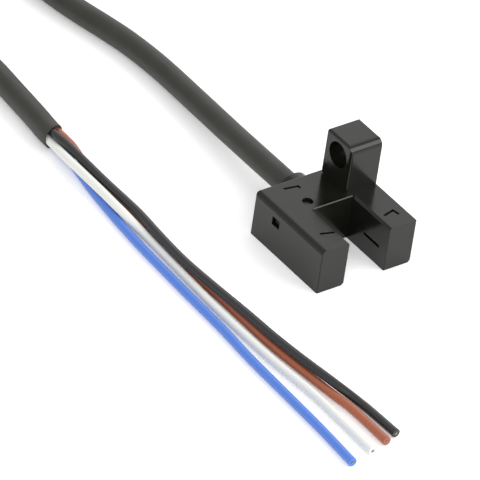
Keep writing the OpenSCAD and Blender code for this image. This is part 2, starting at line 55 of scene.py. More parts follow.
class Tree:
    """A node tree with short calls for adding and joining nodes."""

    def __init__(self, tree: bpy.types.NodeTree) -> None:
        """Takes the tree to build in."""
        self.tree = tree

    @classmethod
    def emptied(cls, owner: bpy.types.Material | bpy.types.World) -> "Tree":
        """Gives the emptied tree of a material or a world."""
        owner.use_nodes = True
        owner.node_tree.nodes.clear()
        return cls(owner.node_tree)

    def add(self, kind: str, feeds: dict[str | int, Any] | None = None, **settings: Any) -> bpy.types.Node:
        """Adds one node.

        Args:
            kind: The node's type.
            feeds: Inputs by name or place, each with a value or with the output that feeds it.
            settings: Properties of the node.

        Returns:
            The new node.
        """
        node = self.tree.nodes.new(kind)
        for key, value in settings.items():
            setattr(node, key, value)
        for key, value in (feeds or {}).items():
            if isinstance(value, Socket):
                self.tree.links.new(value, node.inputs[key])
            else:
                node.inputs[key].default_value = value
        return node

    def math(self, operation: str, first: Any, second: Any = 0.0) -> Socket:
        """Adds a Math node with two values or outputs, and gives its result."""
        return self.add("ShaderNodeMath", {0: first, 1: second}, operation=operation).outputs[0]

    def scaled(self, vector: Socket, factors: Point) -> Socket:
        """Adds a product of a vector and one fixed factor for each axis."""
        return self.add("ShaderNodeVectorMath", {0: vector, 1: factors}, operation="MULTIPLY").outputs[0]

    def noise(self, vector: Socket, scale: float, detail: float = 2.0) -> Socket:
        """Adds a noise from 0 to 1, read at a place, with its repeats over one unit and finer layers."""
        return self.add("ShaderNodeTexNoise", {"Vector": vector, "Scale": scale, "Detail": detail}).outputs[0]

    def span(self, value: Socket, low: float, high: float, to: tuple[float, float] = (0.0, 1.0)) -> Socket:
        """Adds a change of range from low and high to two new ends, and holds it there."""
        feeds = {"Value": value, "From Min": low, "From Max": high, "To Min": to[0], "To Max": to[1]}
        return self.add("ShaderNodeMapRange", feeds).outputs["Result"]

    def blend(self, first: Any, second: Any, factor: Socket) -> Socket:
        """Adds a mix of two colours.

        Args:
            first: The colour at factor 0, or its output.
            second: The colour at factor 1, or its output.
            factor: The mask's output.

        Returns:
            The mixed colour's output.
        """
        pair = [c if isinstance(c, Socket) else (*c, 1.0) for c in (first, second)]
        node = self.add("ShaderNodeMix", {0: factor, 6: pair[0], 7: pair[1]}, data_type="RGBA")
        return node.outputs[2]

    def place(self) -> Socket:
        """Gives the place on the piece, in millimetres."""
        return self.scaled(self.add("ShaderNodeTexCoord").outputs["Object"], (1 / MM,) * 3)

    def skin_place(self) -> Socket:
        """Gives the place on a drawn skin, along it and round it, in millimetres."""
        return self.add("ShaderNodeUVMap", uv_map=SKIN_UV).outputs["UV"]

    def group(self, group: bpy.types.NodeTree, feeds: dict[str, Any]) -> bpy.types.Node:
        """Places a shared node group with its inputs."""
        return self.add("ShaderNodeGroup", feeds, node_tree=group)

    def give(self, made: bpy.types.Node, **outputs: Socket) -> None:
        """Joins a group's results to its outputs, by their names."""
        for name, value in outputs.items():
            self.tree.links.new(value, made.inputs[name])


class Effects:
    """The effects that several finishes share, each a node group that is built once."""

    @staticmethod
    def _made(
        name: str, inputs: Sequence[str], outputs: Sequence[str], build: Callable[..., None]
    ) -> bpy.types.NodeTree:
        """Gives a node group, building it the first time.

        Args:
            name: The group's name.
            inputs: Names of the inputs after Vector, all numbers.
            outputs: Names of the outputs, all numbers.
            build: Adds the nodes: takes the tree, the inputs' node and the outputs' node.

        Returns:
            The group.
        """
        group = bpy.data.node_groups.get(name)
        if group is None:
            group = bpy.data.node_groups.new(name, "ShaderNodeTree")
            group.interface.new_socket("Vector", in_out="INPUT", socket_type="NodeSocketVector")
            for key in inputs:
                group.interface.new_socket(key, in_out="INPUT", socket_type="NodeSocketFloat")
            for key in outputs:
                group.interface.new_socket(key, in_out="OUTPUT", socket_type="NodeSocketFloat")
            tree = Tree(group)
            build(tree, tree.add("NodeGroupInput"), tree.add("NodeGroupOutput"))
        return group

    @classmethod
    def moulded_skin(cls) -> bpy.types.NodeTree:
        """Gives the skin of a moulding: a fine eroded grain, a slow change of tone and a handled film."""

        def build(tree: Tree, given: bpy.types.Node, made: bpy.types.Node) -> None:
            """Adds the nodes of the moulded skin."""
            pit_share = 0.45
            place = given.outputs["Vector"]
            finer = tree.math("DIVIDE", 1.0, given.outputs["Grain"])
            close = tree.add("ShaderNodeVectorMath", {0: place, "Scale": finer}, operation="SCALE").outputs[0]
            pits = tree.add("ShaderNodeTexVoronoi", {"Vector": close, "Scale": 0.8}).outputs["Distance"]
            shallow = tree.math("MULTIPLY", pits, pit_share)
            height = tree.math("ADD", shallow, tree.noise(close, scale=1.0, detail=3.0))
            tone = tree.span(tree.noise(place, scale=0.45, detail=3.0), 0.3, 0.7)
            film = tree.span(tree.noise(place, scale=1.1, detail=4.0), 0.35, 0.7)
            tree.give(made, Height=height, Tone=tone, Film=film)

        return cls._made("Moulded skin", ["Grain"], ["Height", "Tone", "Film"], build)

    @classmethod
    def drawn_skin(cls) -> bpy.types.NodeTree:
        """Gives the skin of an extrusion: long streaks, fine pores and a slow change of tone along it."""

        def build(tree: Tree, given: bpy.types.Node, made: bpy.types.Node) -> None:
            """Adds the nodes of the drawn skin."""
            place = given.outputs["Vector"]
            streak = tree.noise(tree.scaled(place, (0.06, 1.0, 1.0)), scale=4.0, detail=3.0)
            pores = tree.noise(place, scale=9.0)
            height = tree.math("ADD", tree.math("MULTIPLY", streak, given.outputs["Streaks"]), pores)
            tone = tree.span(tree.noise(place, scale=0.28, detail=3.0), 0.3, 0.7)
            tree.give(made, Height=height, Streak=tree.span(streak, 0.3, 0.7), Tone=tone)

        return cls._made("Drawn skin", ["Streaks"], ["Height", "Streak", "Tone"], build)

    @classmethod
    def worked_metal(cls) -> bpy.types.NodeTree:
        """Gives the face of worked metal: a cloudy film and fine drawing lines."""

        def build(tree: Tree, given: bpy.types.Node, made: bpy.types.Node) -> None:
            """Adds the nodes of the worked metal."""
            cloud_share = 0.4
            place = given.outputs["Vector"]
            cloud = tree.noise(place, scale=2.2, detail=4.0)
            lines = tree.noise(tree.scaled(place, (1.0, 0.1, 1.0)), scale=14.0)
            height = tree.math("ADD", tree.math("MULTIPLY", cloud, cloud_share), lines)
            tree.give(made, Film=tree.span(cloud, 0.35, 0.7), Height=height)

        return cls._made("Worked metal", [], ["Film", "Height"], build)


@dataclass(frozen=True)
class Finish(ABC):
    """A surface finish, which makes one material.

    Attributes:
        name: The material's name.
        slot: The record's material slot.
        colour: The main colour.
        second: The colour that it changes to in places.
        roughness: Lowest and highest roughness.
    """

    name: str
    slot: str
    colour: Colour
    second: Colour
    roughness: tuple[float, float]

    def material(self) -> bpy.types.Material:
        """Gives the finish's material, which is made the first time."""
        made = bpy.data.materials.get(self.name)
        if made is None:
            made = bpy.data.materials.new(self.name)
            tree = Tree.emptied(made)
            surface = self.shade(tree)
            tree.add("ShaderNodeOutputMaterial", {"Surface": surface.outputs["BSDF"]})
        return made

    @abstractmethod
    def shade(self, tree: Tree) -> bpy.types.Node:
        """Builds the shader.

        Args:
            tree: The material's tree.

        Returns:
            The node of the shader.
        """

    def principled(
        self, tree: Tree, mask: Socket, film: Socket, height: Socket, depth: float, **fixed: Any
    ) -> bpy.types.Node:
        """Adds the shader with the finish's colours, roughness and relief.

        Args:
            tree: The material's tree.
            mask: Output that mixes the two colours.
            film: Output that mixes the two roughnesses.
            height: Output of the relief.
            depth: Depth of the relief in millimetres.
            fixed: Other inputs, with underscores for spaces.

        Returns:
            The shader's node.
        """
        bump = tree.add("ShaderNodeBump", {"Height": height, "Strength": 1.0, "Distance": depth * MM})
        feeds: dict[str, Any] = {
            "Base Color": tree.blend(self.colour, self.second, mask),
            "Roughness": tree.span(film, 0.0, 1.0, self.roughness),
            "Normal": bump.outputs["Normal"],
        }
        feeds.update({key.replace("_", " "): value for key, value in fixed.items()})
        return tree.add("ShaderNodeBsdfPrincipled", feeds)


@dataclass(frozen=True)
class MouldedPlastic(Finish):
    """Moulded plastic with a fine grain.

    Attributes:
        grain: Size of the grain in millimetres.
        depth: Depth of the grain in millimetres.
        specular: Strength of the plain reflection.
    """

    grain: float = 0.09
    depth: float = 0.004
    specular: float = 0.5

    def shade(self, tree: Tree) -> bpy.types.Node:
        """Builds the plastic on the moulded skin."""
        out = tree.group(Effects.moulded_skin(), {"Vector": tree.place(), "Grain": self.grain}).outputs
        fixed = {"Specular_IOR_Level": self.specular}
        return self.principled(tree, out["Tone"], out["Film"], out["Height"], self.depth, **fixed)


class Along(Enum):
    """What a drawn skin's streaks follow."""

    SKIN = "the tube's own skin"
    BODY_Y = "the part's Y axis"


@dataclass(frozen=True)
class DrawnVinyl(Finish):
    """Extruded vinyl of a jacket or a wire.

    Attributes:
        along: What the streaks follow.
        streaks: Strength of the streaks.
        depth: Depth of the relief in millimetres.
        specular: Strength of the plain reflection.
    """

    along: Along = Along.SKIN
    streaks: float = 1.5
    depth: float = 0.004
    specular: float = 0.5

    def shade(self, tree: Tree) -> bpy.types.Node:
        """Builds the vinyl on the drawn skin."""
        if self.along is Along.SKIN:
            place = tree.skin_place()
        else:
            feeds = {"Vector": tree.place(), "Rotation": (0.0, 0.0, math.pi / 2)}
            place = tree.add("ShaderNodeMapping", feeds).outputs["Vector"]
        out = tree.group(Effects.drawn_skin(), {"Vector": place, "Streaks": self.streaks}).outputs
        fixed = {"Specular_IOR_Level": self.specular}
        return self.principled(tree, out["Tone"], out["Streak"], out["Height"], self.depth, **fixed)


@dataclass(frozen=True)
class WorkedMetal(Finish):
    """Bare or tinned metal.

    Attributes:
        depth: Depth of the relief in millimetres.
    """

    depth: float = 0.002

    def shade(self, tree: Tree) -> bpy.types.Node:
        """Builds the metal on the worked face."""
        out = tree.group(Effects.worked_metal(), {"Vector": tree.place()}).outputs
        return self.principled(tree, out["Film"], out["Film"], out["Height"], self.depth, Metallic=1.0)


@dataclass(frozen=True)
class CastResin(Finish):
    """Cast or moulded clear resin.

    Attributes:
        clear: Share of the light that goes through.
        specular: Strength of the plain reflection.
        ior: Refractive index.
        grain: Size of the relief in millimetres.
        depth: Depth of the relief in millimetres.
    """

    clear: float = 0.5
    specular: float = 0.5
    ior: float = 1.5
    grain: float = 0.3
    depth: float = 0.002

    def shade(self, tree: Tree) -> bpy.types.Node:
        """Builds the resin on a moulded skin."""
        out = tree.group(Effects.moulded_skin(), {"Vector": tree.place(), "Grain": self.grain}).outputs
        fixed = {"Transmission_Weight": self.clear, "IOR": self.ior, "Specular_IOR_Level": self.specular}
        return self.principled(tree, out["Tone"], out["Film"], out["Height"], self.depth, **fixed)


@dataclass(frozen=True)
class BoardMask(Finish):
    """Solder mask over copper tracks.

    Attributes:
        pitch: Spacing of the tracks in millimetres.
        gap: Width of the gaps between tracks, as a share of the pitch.
        rise: Height of the tracks under the mask in millimetres.
        gloss: Strength of the mask's clear coat.
        grain: Size of the mask's grain in millimetres.
    """

    pitch: float = 0.6
    gap: float = 0.12
    rise: float = 0.02
    gloss: float = 0.4
    grain: float = 0.2

    def shade(self, tree: Tree) -> bpy.types.Node:
        """Builds the mask with raised tracks under it."""
        place = tree.place()
        out = tree.group(Effects.moulded_skin(), {"Vector": place, "Grain": self.grain}).outputs
        feeds = {"Vector": place, "Scale": 1.0 / self.pitch, "Mortar Size": self.gap, "Mortar Smooth": 0.4}
        tracks = tree.add("ShaderNodeTexBrick", feeds).outputs["Fac"]
        return self.principled(tree, tracks, out["Film"], tracks, self.rise, Coat_Weight=self.gloss)


def grey(value: float) -> Colour:
    """Gives a neutral colour."""
    return value, value, value


CASE = MouldedPlastic(
    "moulded_case", "case_plastic", (0.005, 0.005, 0.0035), (0.007, 0.007, 0.0048), (0.15, 0.22),
    depth=0.002, specular=0.39,
)
COVER = MouldedPlastic("moulded_cover", "cover_plastic", grey(0.016), grey(0.02), (0.38, 0.5))
PACKAGE = MouldedPlastic("chip_moulding", "chip_mould", grey(0.02), grey(0.03), (0.5, 0.65))
RESISTOR = MouldedPlastic("resistor_coat", "resistor", (0.02, 0.02, 0.025), (0.05, 0.05, 0.055), (0.3, 0.5))
CERAMIC = MouldedPlastic("fired_ceramic", "ceramic", (0.42, 0.33, 0.22), (0.5, 0.4, 0.28), (0.45, 0.6))
STRAP = MouldedPlastic(
    "coil_strap", "tie_plastic", grey(0.014), grey(0.022), (0.45, 0.6), grain=0.3, depth=0.03,
)
BOARD = BoardMask("solder_mask", "board_laminate", (0.03, 0.16, 0.07), (0.06, 0.26, 0.11), (0.25, 0.4))
WINDOW = CastResin(
    "infrared_window", "window_plastic", (0.02, 0.004, 0.005), (0.03, 0.006, 0.007), (0.12, 0.2), clear=0.2,
)
CLEAR = CastResin("clear_resin", "clear_resin", (0.7, 0.76, 0.86), (0.78, 0.82, 0.9), (0.08, 0.15), clear=0.8)
DARK = CastResin("dark_resin", "dark_resin", (0.02, 0.012, 0.02), (0.03, 0.02, 0.03), (0.12, 0.2), clear=0.2)
LAMP = CastResin("lamp_resin", "lamp_resin", (0.8, 0.66, 0.36), (0.86, 0.74, 0.46), (0.2, 0.3), clear=0.3)
PIPE = CastResin(
    "light_pipe", "pipe_plastic", (0.006, 0.004, 0.004), (0.01, 0.006, 0.005), (0.1, 0.2),
    clear=0.1, specular=0.15,
)
TINNED = WorkedMetal("tinned_metal", "tinned_metal", (0.72, 0.72, 0.7), (0.6, 0.6, 0.58), (0.2, 0.4))
CLAMP = WorkedMetal("crimped_brass", "clamp_metal", (0.66, 0.52, 0.26), (0.5, 0.38, 0.18), (0.25, 0.45))
STRANDS = WorkedMetal("tinned_strands", "tinned_metal", (0.42, 0.41, 0.4), (0.3, 0.3, 0.29), (0.35, 0.55))
JACKET = DrawnVinyl("cable_jacket", "jacket", (0.02, 0.02, 0.0155), (0.028, 0.028, 0.022), (0.4, 0.52))
JACKET_IN = replace(JACKET, name="cable_jacket_inside", along=Along.BODY_Y)


@dataclass(frozen=True)
class WireColour:
    """The colours of one wire's insulation.

    Attributes:
        colour: The main colour.
        second: The colour that it changes to in places.
        roughness: Lowest and highest roughness.
        streaks: Strength of the streaks.
        depth: Depth of the relief in millimetres.
    """

    colour: Colour
    second: Colour
    roughness: tuple[float, float] = (0.3, 0.42)
    streaks: float = 1.0
    depth: float = 0.003

    def finish(self, name: str, along: Along) -> DrawnVinyl:
        """Gives the insulation's finish.

        Args:
            name: The wire's colour name.
            along: What the streaks follow.

        Returns:
            The finish.
        """
        ending = "skin" if along is Along.SKIN else "core"
        look = (self.colour, self.second, self.roughness, along, self.streaks, self.depth)
        return DrawnVinyl(f"{name}_{ending}", f"{name}_skin", *look)


class Wire(Enum):
    """The four wires of the cable."""

    BROWN = WireColour((0.72, 0.16, 0.078), (0.77, 0.185, 0.095))
    BLACK = WireColour(grey(0.012), grey(0.018))
    WHITE = WireColour((0.9, 0.89, 0.79), (0.92, 0.91, 0.82))
    BLUE = WireColour((0.072, 0.18, 0.56), (0.088, 0.21, 0.62))

    @property
    def word(self) -> str:
        """The colour's name as the nodes spell it."""
        return self.name.lower()


class Route:
    """A smooth line through given points, all in metres."""

    def __init__(self, points: Sequence[Point]) -> None:
        """Takes the points in millimetres."""
        self.points = [Vector(p) * MM for p in points]

    def smooth(self, step: float) -> list[Vector]:
        """Gives close points on a curve through all the points.

        Args:
            step: Longest distance between them in millimetres.

        Returns:
            The close points, both ends included.
        """
        pts = self.points
        at = [0.0]
        for a, b in zip(pts, pts[1:]):
            at.append(at[-1] + (b - a).length)
        last = len(pts) - 1
        slopes = []
        for i in range(len(pts)):
            low, high = max(i - 1, 0), min(i + 1, last)
            slopes.append((pts[high] - pts[low]) / (at[high] - at[low]))
        line = [pts[0].copy()]
        for i in range(last):
            span = at[i + 1] - at[i]
            count = max(1, math.ceil(span / (step * MM)))
            for k in range(1, count + 1):
                t = k / count
                h1, h2 = 2 * t**3 - 3 * t**2 + 1, t**3 - 2 * t**2 + t
                h3, h4 = -2 * t**3 + 3 * t**2, t**3 - t**2
                line.append(pts[i] * h1 + slopes[i] * span * h2 + pts[i + 1] * h3 + slopes[i + 1] * span * h4)
        return line


def put(name: str, data: bpy.types.ID) -> bpy.types.Object:
    """Puts a new object with the given data in the scene."""
    obj = bpy.data.objects.new(name, data)
    bpy.context.scene.collection.objects.link(obj)
    return obj


def show(mesh: bpy.types.Mesh, material: bpy.types.Material, sharp: float) -> bpy.types.Object:
    """Makes a mesh a shown object with one material.

    Args:
        mesh: The mesh, in place.
        material: Its material.
        sharp: Angle of a sharp edge in degrees.

    Returns:
        The object, with the mesh's name.
    """
    mesh.materials.append(material)
    mesh.shade_smooth()
    mesh.set_sharp_from_angle(angle=math.radians(sharp))
    return put(mesh.name, mesh)


def loft_faces(rings: int, count: int) -> list[tuple[int, ...]]:
    """Gives the faces of a skin over rings of points, closed at both ends.

    Args:
        rings: Number of rings.
        count: Points in each ring.

    Returns:
        The faces.
    """
    faces = [tuple(range(count))]
    for a in range(0, (rings - 1) * count, count):
        b = a + count
        for k in range(count):
            n = (k + 1) % count
            faces.append((a + k, b + k, b + n, a + n))
    faces.append(tuple(reversed(range((rings - 1) * count, rings * count))))
    return faces


@dataclass
class Tube:
    """A drawn tube along a path, with a hollow far end.

    Attributes:
        name: The piece's name.
        path: Close points of the centreline, in metres.
        radius: Outer radius in millimetres.
        bore: Radius of the hollow in the far end, in millimetres.
        hollow: Depth of that hollow in millimetres.
        sides: Corners of the section.
        cut: How far the cut edge stands past the end at an angle round the section, in millimetres.
        lip: Largest rounding of the cut edge in millimetres.
        sharp: Angle of a sharp edge in degrees.
    """

    name: str
    path: list[Vector]
    radius: float
    bore: float
    hollow: float
    sides: int = 32
    cut: Callable[[float], float] = field(default=lambda angle: 0.0)
    lip: float = 0.06
    sharp: float = 40.0

    def _profile(self) -> list[tuple[float, float, float]]:
        """Gives the far end's rings after the last one: share of the cut, depth and radius."""
        lip = min(self.lip, (self.radius - self.bore) / 4)
        return [
            (1.0, lip, self.radius),
            (1.0, lip * 0.3, self.radius - lip * 0.3),
            (1.0, 0.0, self.radius - lip),
            (1.0, 0.0, self.bore + lip),
            (1.0, lip * 0.6, self.bore),
            (0.5, self.hollow * 0.5, self.bore),
            (0.0, self.hollow, self.bore),
        ]

    def build(self, material: bpy.types.Material) -> bpy.types.Object:
        """Builds the tube.

        Args:
            material: Its material.

        Returns:
            The piece.
        """
        up = Vector((0.0, 0.0, 1.0))
        rings: list[tuple[Vector, Vector, float, float]] = []
        last = len(self.path) - 1
        for i, point in enumerate(self.path[:-1]):
            heading = (self.path[min(i + 1, last)] - self.path[max(i - 1, 0)]).normalized()
            rings.append((point, heading, self.radius, 0.0))
        heading = (self.path[last] - self.path[last - 1]).normalized()
        for share, depth, radius in self._profile():
            rings.append((self.path[last] - heading * depth * MM, heading, radius, share))
        verts: list[Vector] = []
        along: list[float] = []
        run = 0.0
        for i, (centre, heading, radius, share) in enumerate(rings):
            side = heading.cross(up).normalized()
            over = side.cross(heading)
            if i:
                run += max((centre - rings[i - 1][0]).length / MM, abs(radius - rings[i - 1][2]))
            along.append(run)
            for k in range(self.sides):
                angle = 2 * math.pi * k / self.sides
                spoke = side * math.cos(angle) + over * math.sin(angle)
                verts.append(centre + spoke * radius * MM + heading * share * self.cut(angle) * MM)
        mesh = bpy.data.meshes.new(self.name)
        mesh.from_pydata([tuple(v) for v in verts], [], loft_faces(len(rings), self.sides))
        self._unwrap(mesh, along)
        mesh.validate()
        return show(mesh, material, self.sharp)

    def _unwrap(self, mesh: bpy.types.Mesh, along: Sequence[float]) -> None:
        """Lays the skin flat: along the tube and round it, in millimetres.

        Args:
            mesh: The tube's mesh.
            along: Distance of each ring from the start.
        """
        layer = mesh.uv_layers.new(name=SKIN_UV)
        arc = 2 * math.pi * self.radius / self.sides
        for face in mesh.polygons:
            ks = [v % self.sides for v in face.vertices]
            seam = len(ks) == 4 and 0 in ks and self.sides - 1 in ks
            for loop, vertex, k in zip(face.loop_indices, face.vertices, ks):
                turn = self.sides if seam and k == 0 else k
                layer.data[loop].uv = (along[vertex // self.sides], turn * arc)


@dataclass
class Coil:
    """The cable that is put away: turns in columns and layers.

    Attributes:
        centre: Middle of the coil in millimetres.
        radii: Radius of the outer and the inner column.
        low: Height of the lowest layer's centre.
        pitch: Distance between layers.
        turns: Number of turns.
        move: Angle in which a turn changes its place, in degrees.
        stagger: How much earlier the next turn changes, in degrees.
        lift: How far the tie lifts the bundle, in millimetres.
        tie_at: Angle of the tie, in degrees.
        tie_reach: Angle over which the lift fades, in degrees.
    """

    centre: tuple[float, float] = (-13.0, 86.0)
    radii: tuple[float, float] = (18.6, 15.4)
    low: float = 1.6
    pitch: float = 3.2
    turns: float = 7.5
    move: float = 64.0
    stagger: float = 19.2
    lift: float = 0.42
    tie_at: float = 90.0
    tie_reach: float = 22.0

    def _slot(self, number: int) -> tuple[float, float]:
        """Gives the radius and height of a turn's place, counted from 0."""
        layer = number // 2
        inner = number % 2 if layer % 2 == 0 else 1 - number % 2
        return self.radii[inner], self.low + layer * self.pitch

    def line(self, step: float) -> list[Point]:
        """Gives the coil's centreline.

        Args:
            step: Angle between points in degrees.

        Returns:
            The points in millimetres, from the right side round to the left side.
        """
        total = self.turns * 360.0
        moves = math.ceil(self.turns) - 1
        points: list[Point] = []
        for i in range(round(total / step) + 1):
            turn = i * step
            radius, height = self._slot(0)
            for k in range(moves):
                start = 360.0 * k + 180.0 + (moves - 1 - k) * self.stagger
                share = min(max((turn - start) / self.move, 0.0), 1.0)
                share = (1 - math.cos(math.pi * share)) / 2
                (r0, z0), (r1, z1) = self._slot(k), self._slot(k + 1)
                radius += (r1 - r0) * share
                height += (z1 - z0) * share
            angle = math.radians(turn)
            off = (turn % 360.0 - self.tie_at) / self.tie_reach
            height += self.lift * math.exp(-off * off)
            x, y = self.centre
            points.append((x + radius * math.cos(angle), y + radius * math.sin(angle), height))
        return points


@dataclass
class CoilStrap:
    """The strap round the bundle at the far side of the coil.

    Attributes:
        middle: Middle of the bundle in millimetres.
        half: Half of the bundle's depth and height.
        corner: Radius of the strap's corners.
        width: Width of the strap.
        thick: Thickness of the strap.
        lap: How far its end lies over its start, past the bundle's middle.
        ease: Height at which the lap begins, in thicknesses.
        steps: Steps in each corner.
        sharp: Angle of a sharp edge in degrees.
    """

    middle: Point = (-13.0, 103.0, 6.82)
    half: tuple[float, float] = (3.2, 6.4)
    corner: float = 1.6
    width: float = 4.0
    thick: float = 0.3
    lap: float = 2.4
    ease: float = 0.6
    steps: int = 8
    sharp: float = 35.0

    def _loop(self) -> list[tuple[Vector, Vector]]:
        """Gives the strap's inner line in its plane, with the outward direction at each point."""
        line = []
        wide, high = self.half[0] - self.corner, self.half[1] - self.corner
        corners = [(wide, -high, -90), (wide, high, 0), (-wide, high, 90), (-wide, -high, 180)]
        for cy, cz, start in corners:
            for k in range(self.steps + 1):
                angle = math.radians(start + 90 * k / self.steps)
                out = Vector((0.0, math.cos(angle), math.sin(angle)))
                line.append((Vector((0.0, cy, cz)) + out * self.corner, out))
        return line

    def build(self, material: bpy.types.Material) -> bpy.types.Object:
        """Builds the strap with its lapped end.

        Args:
            material: Its material.

        Returns:
            The piece.
        """
        loop = self._loop()
        seam = 2 * (self.steps + 1)
        turn = loop[seam:] + loop[:seam]
        first, last = turn[0], turn[-1]
        out = Vector((0.0, 0.0, 1.0))
        start = (first[0] + Vector((0.0, self.lap, 0.0)), out)
        end = Vector((0.0, -self.lap, self.half[1] + self.thick))
        over = [(first[0] + out * self.thick, out), (end, out)]
        run = [start, *turn[1:], (last[0] + out * self.thick * self.ease, out), *over]
        verts: list[Vector] = []
        side, edge = self.width / 2, self.thick / 3
        section = [
            (-side, 2 * edge), (-side + edge, self.thick), (side - edge, self.thick), (side, 2 * edge),
            (side, edge), (side - edge, 0.0), (-side + edge, 0.0), (-side, edge),
        ]
        for point, outward in run:
            for x, rise in section:
                verts.append((Vector(self.middle) + point + outward * rise + Vector((x, 0.0, 0.0))) * MM)
        mesh = bpy.data.meshes.new("strap")
        mesh.from_pydata([tuple(v) for v in verts], [], loft_faces(len(run), len(section)))
        mesh.validate()
        return show(mesh, material, self.sharp)


@dataclass(frozen=True)
class TornEdge:
    """The uneven cut of the jacket.

    Attributes:
        tongue_at: Angle of the tongue round the section, in degrees.
        tongue: How far the tongue stands out in millimetres.
        narrow: Power that narrows the tongue.
        notch_at: Angle of the stretch that is torn off, in degrees.
        notch: How far that stretch lies back in millimetres.
        waves: Height of the three slow waves in millimetres.
        lean: Turn of the waves in radians.
    """

    tongue_at: float = 320.0
    tongue: float = 0.35
    narrow: int = 6
    notch_at: float = 150.0
    notch: float = 0.5
    waves: float = 0.06
    lean: float = 0.6

    def out(self, angle: float) -> float:
        """Gives how far the edge stands out at an angle in radians, in millimetres."""
        tongue = max(0.0, math.cos(angle - math.radians(self.tongue_at))) ** self.narrow
        notch = max(0.0, math.cos(angle - math.radians(self.notch_at))) ** 2
        return self.tongue * tongue - self.notch * notch + self.waves * math.sin(3 * angle + self.lean)


@dataclass
class Cable:
    """The jacketed cable from the sensor's boss, through its coil, to the cut end.

    Attributes:
        diameter: Diameter of the jacket in millimetres.
        lead: Points from the boss to the coil.
        tail: Points from the coil to the cut end.
        coil: The coil between them.
        strap: The strap of the coil.
        edge: The cut of the jacket.
        bore: Radius of the jacket's hollow at the cut.
        hollow: Depth of that hollow.
        sides: Corners of the section.
        step: Longest step of the smooth line.
        coil_step: Angle between points of the coil, in degrees.
    """

    diameter: float = 3.1
    lead: tuple[Point, ...] = (
        (0, 7.8, 3.2), (0, 10.5, 3.2), (0.25, 15.5, 2.9), (0.7, 21, 2.4), (1.15, 29, 2), (1.45, 37, 1.7),
        (1.1, 43, 1.6), (0.3, 47.5, 1.6), (-0.5, 51.2, 1.6), (-1.15, 55, 1.6), (-1.45, 59, 1.6),
        (-0.6, 62.9, 1.6), (1.3, 66.3, 1.6), (3.6, 69.5, 1.6), (5.1, 73.2, 1.6), (5.6, 77, 1.6),
        (5.6, 82, 1.6),
    )
    tail: tuple[Point, ...] = (
        (-31.6, 82, 11.2), (-31.6, 76, 11.2), (-31.4, 72.4, 10.5), (-30.4, 69, 8.9), (-28.6, 66, 6.8),
        (-26.2, 63.2, 4.8), (-23.6, 60.5, 3.1), (-21, 57.6, 2), (-18.95, 54.2, 1.65), (-17.85, 50.5, 1.6),
        (-17.6, 46.6, 1.6), (-18.05, 40.5, 1.6), (-18.45, 35.5, 1.6), (-18.8, 32.2, 1.6), (-18.8, 31, 1.6),
    )
    coil: Coil = field(default_factory=Coil)
    strap: CoilStrap = field(default_factory=CoilStrap)
    edge: TornEdge = TornEdge()
    bore: float = 1.38
    hollow: float = 1.3
    sides: int = 36
    step: float = 0.7
    coil_step: float = 6.0

    def build(self) -> bpy.types.Object:
        """Returns:
            The cable.
        """
        whole = [*self.lead, *self.coil.line(self.coil_step), *self.tail]
        path = Route(whole).smooth(self.step)
        tube = Tube("cable", path, self.diameter / 2, self.bore, self.hollow, self.sides, self.edge.out)
        cable = tube.build(JACKET.material())
        strap = self.strap.build(STRAP.material())
        dressed = ((cable, JACKET, ("cable_lead", "cable_coil", "cable_tail")), (strap, STRAP, ("coil_tie",)))
        for piece, finish, nodes in dressed:
            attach(piece, "root")
            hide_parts(*nodes)
        return cable


